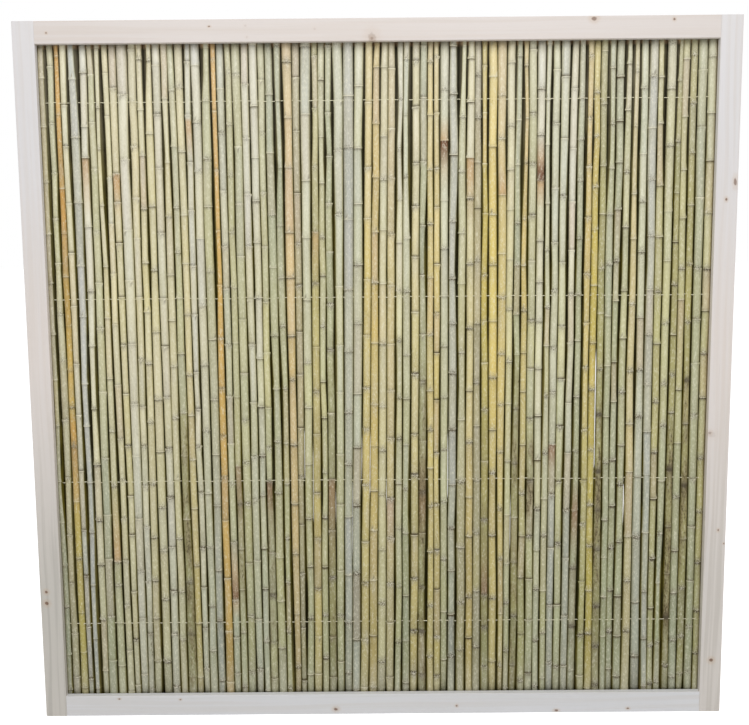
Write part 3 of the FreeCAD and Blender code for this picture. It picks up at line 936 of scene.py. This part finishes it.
def cane_tone(number, z, places, dice):
    """The skin's colour at each height: the kind at the top blended into the kind at the foot.

    Each length's own shade multiplies it. Painted shade takes light off near the ground, and
    painted light adds some, bluish, near the top.
    """
    top, foot = TONES[TOP_TONES[number]], TONES[FOOT_TONES[number]]
    tone = foot + (top - foot) * np.interp(z, *KIND_BY_HEIGHT)[:, None]
    length = np.searchsorted(places, z)
    lengths = len(places) + 1
    tone = tone * (1 + dice.normal(0.0, LENGTH_LIGHT, lengths))[length][:, None]
    warmth = dice.normal(0.0, LENGTH_WARMTH, lengths)[length]
    green = dice.normal(0.0, LENGTH_GREEN, lengths)[length]
    own = np.stack([1 + warmth - green, 1 + 0.3 * warmth, 1 - 2.2 * warmth - green], axis=1)
    tone = tone * own
    rosy = (dice.random(lengths) < ROSY_LENGTHS) * dice.uniform(0.1, 0.45, lengths)
    tone = tone + (PINK * 1.1 - tone) * rosy[length][:, None]

    # Painted shade darkens the foot, and painted light brightens and blues the top.
    low = np.interp(z, *FOOT_SHADE_BY_HEIGHT)[:, None]
    high = np.interp(z, *TOP_LIGHT_BY_HEIGHT)[:, None]
    tone = tone * (1 - low * FOOT_PAINTED_SHADE) * (1 + high * TOP_PAINTED_LIGHT)
    tone = tone * np.interp(number, *LIGHT_BY_CANE)
    chalk = np.interp(z, *CHALK_BY_HEIGHT)[:, None] * np.interp(number, *CHALK_BY_CANE)
    tone = tone + (CHALKY - tone) * chalk
    own_blue = tone[:, 2] / tone[:, 0] / USUAL_BLUE
    tone[:, 2] *= own_blue ** np.interp(z, *BLUE_KEPT_BY_HEIGHT)
    tone[:, 2] *= 1 + np.interp(number, *BLUE_BY_CANE) * np.interp(z, *BLUE_DRIFT_BY_HEIGHT)
    return tone + (SPLASHED - tone) * np.interp(z, *SPLASH_BY_HEIGHT)[:, None]


def patched(number, z, tone):
    """The same colours with the cane's patches, each fading from its start to its end."""
    for cane, start, end, strength, shade, _ in PATCHES:
        if cane == number + 1:
            along = (z / MM - start) / (end - start)
            near = np.where(along > -0.004, np.clip(1.05 - along, 0, 1), 0.0)[:, None]
            through = TAN if shade is SCORCH else shade
            tone = tone + (through - tone) * np.sqrt(near) * strength
            tone = tone + (shade - tone) * np.clip(2.2 * near - 0.9, 0, 1) * strength
    return np.clip(tone, 0, 1)


print("foot loses", FOOT_PAINTED_SHADE, "of its light")

# %% [markdown]
# Mould, dirty nodes and a lift of the crevices' painted shade are painted the same way, as three
# more values for each height. Mould keeps to its stretches, and the crevices' painted shade is
# lighter near the ground and near the top.

# %% Mould, dirty nodes and lifted shade in the crevices
FAINT_MOULD = 0.06
NODE_REACH = 0.008
CREVICE_LIFT_HEIGHTS = np.linspace(FOOT, TOP, 9)
CREVICE_LIFT_BY_HEIGHT = ([0.06, 0.16, 1.2, 1.7], [0.7, 0.0, 0.0, 0.3])


def cane_growth_and_lift(number, z, places, dice):
    """Rows of mould, of dirt about the nodes and of lift of the crevices' painted shade, 0 to 1."""
    mould = np.full(len(z), FAINT_MOULD)
    for cane, low_mm, high_mm, strength in MOULD:
        if cane == number + 1:
            within = np.minimum(z - low_mm * MM, high_mm * MM - z) / 0.03 + 0.5
            mould = np.maximum(mould, np.clip(within, 0, 1) * strength)
    away = np.abs(z[:, None] - places)
    about_node = np.clip(1.4 - np.min(away, axis=1) / NODE_REACH, 0, 1)
    spotty = np.clip(dice.uniform(-0.3, 1.4, len(places)), 0, 1)[np.argmin(away, axis=1)]
    crevice_lift = np.interp(z, CREVICE_LIFT_HEIGHTS, dice.normal(0.15, 0.4, len(CREVICE_LIFT_HEIGHTS)))
    crevice_lift = np.clip(crevice_lift + np.interp(z, *CREVICE_LIFT_BY_HEIGHT), 0, 1)
    return np.stack([mould, about_node * spotty * worn_nodes(number, z), crevice_lift], axis=1)


print("dust in the crevices at", len(CREVICE_LIFT_HEIGHTS), "heights")

# %% [markdown]
# A mesh is filled from the whole arrays at once. Its faces join each ring to the next, and a
# polygon closes each end. The bamboo's streaks read Object coordinates, and the marks are stored
# as colours of the mesh's points, so no UV map is needed.

# %% Make a closed tube from a grid of points
def tube_mesh(name, points):
    """A closed tube: a quad between each four neighbours of the grid, and a polygon at each end."""
    rings, columns = points.shape[:2]
    ring, column = np.meshgrid(np.arange(rings - 1), np.arange(columns), indexing="ij")
    after = (column + 1) % columns
    quads = np.stack([
        ring * columns + column, ring * columns + after,
        (ring + 1) * columns + after, (ring + 1) * columns + column,
    ], axis=2).reshape(-1)
    foot_cap = np.arange(columns)[::-1]
    top_cap = (rings - 1) * columns + np.arange(columns)
    corners = np.concatenate([quads, foot_cap, top_cap])
    faces = (rings - 1) * columns
    starts = np.concatenate([np.arange(faces) * 4, [faces * 4, faces * 4 + columns]])
    mesh = bpy.data.meshes.new(name)
    mesh.vertices.add(rings * columns)
    mesh.vertices.foreach_set("co", points.reshape(-1).astype(np.float32))
    mesh.loops.add(len(corners))
    mesh.loops.foreach_set("vertex_index", corners.astype(np.int32))
    mesh.polygons.add(faces + 2)
    mesh.polygons.foreach_set("loop_start", starts.astype(np.int32))
    smooth = np.ones(faces + 2, bool)
    smooth[-2:] = False
    mesh.polygons.foreach_set("use_smooth", smooth)
    mesh.update(calc_edges=True)
    mesh.validate()
    return mesh


def paint(mesh, name, values):
    """Stores one colour for each vertex under a name that a material can read."""
    layer = mesh.attributes.new(name, "FLOAT_COLOR", "POINT")
    flat = np.concatenate([values, np.ones((len(values), 1))], axis=1)
    layer.data.foreach_set("color", flat.reshape(-1).astype(np.float32))


def put_in_scene(name, mesh):
    """A piece made of the mesh, at the origin of the scene."""
    piece = bpy.data.objects.new(name, mesh)
    bpy.context.scene.collection.objects.link(piece)
    return piece


print("mesh maker ready")

# %% [markdown]
# Bamboo skin is a thin waxy coat over straight fibres. Its colour comes from the cane, broken up
# by long streaks, faint blotches and fine specks, all of them noise stretched along the cane. The
# clean skin comes first.

# %% Bamboo skin, clean
STREAK_STAIN = (0.90, 0.89, 0.80)
BLOTCH_STAIN = (0.80, 0.79, 0.70)
FIBRE_STAIN = (0.82, 0.79, 0.68)
SPECK_STAIN = (0.84, 0.83, 0.76)
WAX = colour(198, 194, 178)
PALE_SPECK = colour(242, 238, 216)


def painted_marks(tree, name):
    """The three values that were painted on the mesh under a name."""
    layer = add(tree, "ShaderNodeAttribute")
    layer.attribute_name = name
    return add(tree, "ShaderNodeSeparateColor", Color=layer.outputs["Color"]).outputs[:3]


bamboo, tree, surface = new_material("bamboo_skin")
place = add(tree, "ShaderNodeTexCoord").outputs["Object"]
streaks = streaky(tree, place, (420.0, 420.0, 5.0), 3.0, 0.55)
fibres = streaky(tree, place, (1500.0, 1500.0, 18.0), 2.0, 0.6)
blotches = streaky(tree, place, (70.0, 70.0, 14.0), 3.0, 0.6)
bloom = streaky(tree, place, (40.0, 40.0, 9.0), 2.0, shift=(3.1, 1.7, 5.3))
specks = streaky(tree, place, (260.0, 260.0, 120.0), 3.0, 0.65)

tone = add(tree, "ShaderNodeAttribute")
tone.attribute_name = "tone"
tint = tone.outputs["Color"]
# Each layer goes over those before it, by up to its share, as its pattern goes from low to high.
for lay, pattern, low, high, share, shade in [
    (stained, streaks, 0.3, 0.7, 0.7, STREAK_STAIN),
    (stained, blotches, 0.52, 0.78, 0.5, BLOTCH_STAIN),
    (stained, fibres, 0.55, 0.8, 0.35, FIBRE_STAIN),
    (over, bloom, 0.55, 0.8, 0.35, WAX),
    (stained, specks, 0.5, 0.75, 0.55, SPECK_STAIN),
    (over, specks, 0.5, 0.32, 0.42, PALE_SPECK),
]:
    tint = lay(tree, tint, spread(tree, pattern, low, high, 0.0, share), shade)
print("clean skin:", len(tree.nodes), "nodes")

# %% [markdown]
# The marks painted on the mesh bring the pale ring and, under it, a painted shadow line at every
# node. About the nodes the skin is chipped and flecked, and mould spreads as damp brown stains with
# sooty grains.

# %% Bamboo skin, nodes and mould
NODE_PALE = colour(236, 230, 204)
NODE_SHADOW_AND_SOOT = colour(84, 73, 46)
CHIP = colour(238, 234, 216)
FLECK = colour(86, 78, 56)
DAMP_BROWN = colour(122, 106, 70)
SOOT = colour(72, 62, 42)
MOULD_BROWN = colour(80, 68, 40)

shadow_and_soot_mark, ring_mark, flank_shade_mark = painted_marks(tree, "marks")
mould_mark, zone_mark, crevice_lift_mark = painted_marks(tree, "growth_and_lift")
crumbs = streaky(tree, place, (420.0, 420.0, 330.0), 2.0, 0.6, shift=(0.0, 2.0, 4.0))

tint = over(tree, tint, times(tree, ring_mark, 0.7, clamp=True), NODE_PALE)
# Painted shadow under each node ring, deeper where soot or a bud tip darkens it.
grainy = maths(tree, "MULTIPLY_ADD", specks, 0.9, 0.35)
tint = over(tree, tint, times(tree, shadow_and_soot_mark, grainy, clamp=True), NODE_SHADOW_AND_SOOT)
chips = times(tree, spread(tree, crumbs, 0.53, 0.60, 0.0, 0.85), zone_mark)
tint = over(tree, tint, chips, CHIP)
flecks = times(tree, spread(tree, crumbs, 0.48, 0.41, 0.0, 0.85), zone_mark)
tint = over(tree, tint, flecks, FLECK)

damp = times(tree, mould_mark, spread(tree, blotches, 0.35, 0.65, 0.1, 0.8))
tint = over(tree, tint, damp, DAMP_BROWN)
dirt = maths(tree, "MULTIPLY_ADD", mould_mark, 0.8, 0.16)
tint = over(tree, tint, times(tree, dirt, zone_mark, clamp=True), SOOT)
patchy = maths(tree, "MULTIPLY_ADD", blotches, 0.6, -0.3)
sooty = maths(tree, "ADD", specks, patchy)
limit = maths(tree, "MULTIPLY_ADD", mould_mark, -0.27, 0.80)
mould = spread(tree, maths(tree, "SUBTRACT", sooty, limit), -0.04, 0.16, 0.0, 0.9)
tint = over(tree, tint, mould, MOULD_BROWN)
print("with nodes and mould:", len(tree.nodes), "nodes")

# %% [markdown]
# Between the canes the flanks carry painted shade, dark as the gap where two canes meet. Low down
# it is olive brown, towards the top it is painted greyer, as a haze would make it, and right
# under the top rail a painted view of the rear rail's tan shows. The painted shade is rough and
# hardly shines.

# %% Bamboo skin, painted shade between canes, and gloss
CREVICE_SHADE_DARK = colour(36, 32, 2)
CREVICE_SHADE_OLIVE = colour(92, 82, 16)
UPPER_SHADE_DARK = colour(50, 46, 33)
UPPER_SHADE_GREY = colour(102, 96, 79)
LIFTED_SHADE_OLIVE = colour(122, 112, 60)
LIFTED_SHADE_GREY = colour(122, 115, 94)
PAINTED_RAIL_TAN = colour(196, 166, 130)
EDGE_BOUNCE_TINT = (0.98, 0.96, 0.74)
UPPER_SHADE_HEIGHTS = (1.32, 1.66)
PAINTED_RAIL_HEIGHTS = (1.732, 1.745)
SKIN_STRENGTH, SKIN_DEPTH = 0.3, 0.0003

height = add(tree, "ShaderNodeSeparateXYZ", Vector=place).outputs[2]
# Painted shade for the gaps between canes: dark olive low down, greyer higher up.
aloft = spread(tree, height, *UPPER_SHADE_HEIGHTS)
cloud = spread(tree, bloom, 0.42, 0.72)
crevice_shade = over(tree, rgba(CREVICE_SHADE_DARK), cloud, CREVICE_SHADE_OLIVE)
upper_shade = over(tree, rgba(UPPER_SHADE_DARK), cloud, UPPER_SHADE_GREY)
crevice_shade = mixed(tree, aloft, crevice_shade, upper_shade)
# A lighter painted shade in the crevices, greyer higher up, where the lift mark is high.
lifted_crevice = over(tree, rgba(LIFTED_SHADE_OLIVE), aloft, LIFTED_SHADE_GREY)
crevice_shade = mixed(tree, times(tree, crevice_lift_mark, 0.8), crevice_shade, lifted_crevice)
# A painted view of the rear rail's tan, just under the top rail.
crevice_shade = over(tree, crevice_shade, spread(tree, height, *PAINTED_RAIL_HEIGHTS, 0.0, 0.9), PAINTED_RAIL_TAN)

ragged = maths(tree, "MULTIPLY_ADD", blotches, 0.4, 0.8)
# The flank shade mark lays the painted shade raggedly over the flanks.
flank_shade = times(tree, flank_shade_mark, ragged, clamp=True)
# Painted bounce light: beside the painted shade the skin turns yellower, as if lit by its
# neighbour.
tint = stained(tree, tint, times(tree, flank_shade_mark, 2.2, clamp=True), EDGE_BOUNCE_TINT)
tint = mixed(tree, times(tree, flank_shade, 0.97), tint, crevice_shade)
waxy = maths(tree, "MULTIPLY_ADD", streaks, 0.2, 0.36)
rough = maths(tree, "MULTIPLY_ADD", flank_shade, 0.5, waxy, clamp=True)
relief = maths(tree, "MULTIPLY_ADD", streaks, 0.6, times(tree, fibres, 0.25))
coat(tree, surface, tint, rough, relief, SKIN_STRENGTH, SKIN_DEPTH)
shine = maths(tree, "MULTIPLY_ADD", flank_shade, -0.45, 0.5, clamp=True)
tree.links.new(shine, surface.inputs["Specular IOR Level"])
print("bamboo skin:", len(tree.nodes), "nodes")

# %% [markdown]
# Now every cane is made, painted, dressed and named, and takes the place of its solid, which is
# hidden. Each one has its own seed, so a change to one leaves the others as they are.

# %% The canes
SEED = 83
faces_made = 0
for number, (node_name, rows) in enumerate(lines):
    dice = np.random.default_rng([SEED, number])
    points, marks, z, places = cane_surface(number, rows, dice)
    tone_rows = patched(number, z, cane_tone(number, z, places, dice))
    growth_and_lift_rows = cane_growth_and_lift(number, z, places, dice)
    mesh = tube_mesh(f"cane_{number + 1:02d}", points)
    across = points.shape[1]
    paint(mesh, "tone", np.repeat(tone_rows, across, axis=0))
    paint(mesh, "marks", marks.reshape(-1, 3))
    paint(mesh, "growth_and_lift", np.repeat(growth_and_lift_rows, across, axis=0))
    cane = put_in_scene(mesh.name, mesh)
    dress(cane, bamboo)
    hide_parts(node_name)
    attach(cane, "root")
    faces_made += 2 * len(mesh.polygons)
print(len(lines), "canes,", faces_made, "triangles")

# %% [markdown]
# The canes are threaded on four galvanised wires. A wire shows only as a short bright dash in
# each crevice. It is a thin tube that rises and dips a little from cane to cane.

# %% The wires
WIRE_BRIGHT = colour(238, 233, 204)
WIRE_DULL = colour(204, 197, 164)
WIRE_SIDES = 6
WIRE_RADIUS = 0.95 * MM
WIRE_SHOWS = -6.2 * MM
WIRE_DIP = 0.7 * MM
WIRE_SEED = 7

galvanised = zinc_coat(
    "galvanised_wire", WIRE_BRIGHT, WIRE_DULL,
    scale=500.0, first_dull=0.35, smoothest=0.4, metallic=0.1,
)


def wire_surface(low, high, dice):
    """A tube along X whose middle line dips and rises: each ring is six points round that line."""
    height = (low[2] + high[2]) / 2
    beads = np.array([float(np.interp(height, levels, border)) for border in borders[1:-1]])
    x = np.concatenate([[low[0]], beads, [high[0]]])
    y = np.full(len(x), WIRE_SHOWS)
    y[[0, -1]] = (low[1] + high[1]) / 2
    z = height + dice.normal(0.0, WIRE_DIP, len(x))
    turn = np.arange(WIRE_SIDES) * 2 * math.pi / WIRE_SIDES
    ring_y = y[:, None] + WIRE_RADIUS * np.cos(turn)
    ring_z = z[:, None] + WIRE_RADIUS * np.sin(turn)
    return np.stack([np.broadcast_to(x[:, None], ring_y.shape), ring_y, ring_z], axis=2)


for number, name in enumerate(["lowest_wire", "lower_wire", "upper_wire", "highest_wire"]):
    points = wire_surface(*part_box(name), np.random.default_rng([WIRE_SEED, number]))
    mesh = tube_mesh(f"{name}_strand", points)
    strand = put_in_scene(mesh.name, mesh)
    dress(strand, galvanised)
    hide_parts(name)
    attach(strand, "root")
print("wires made")
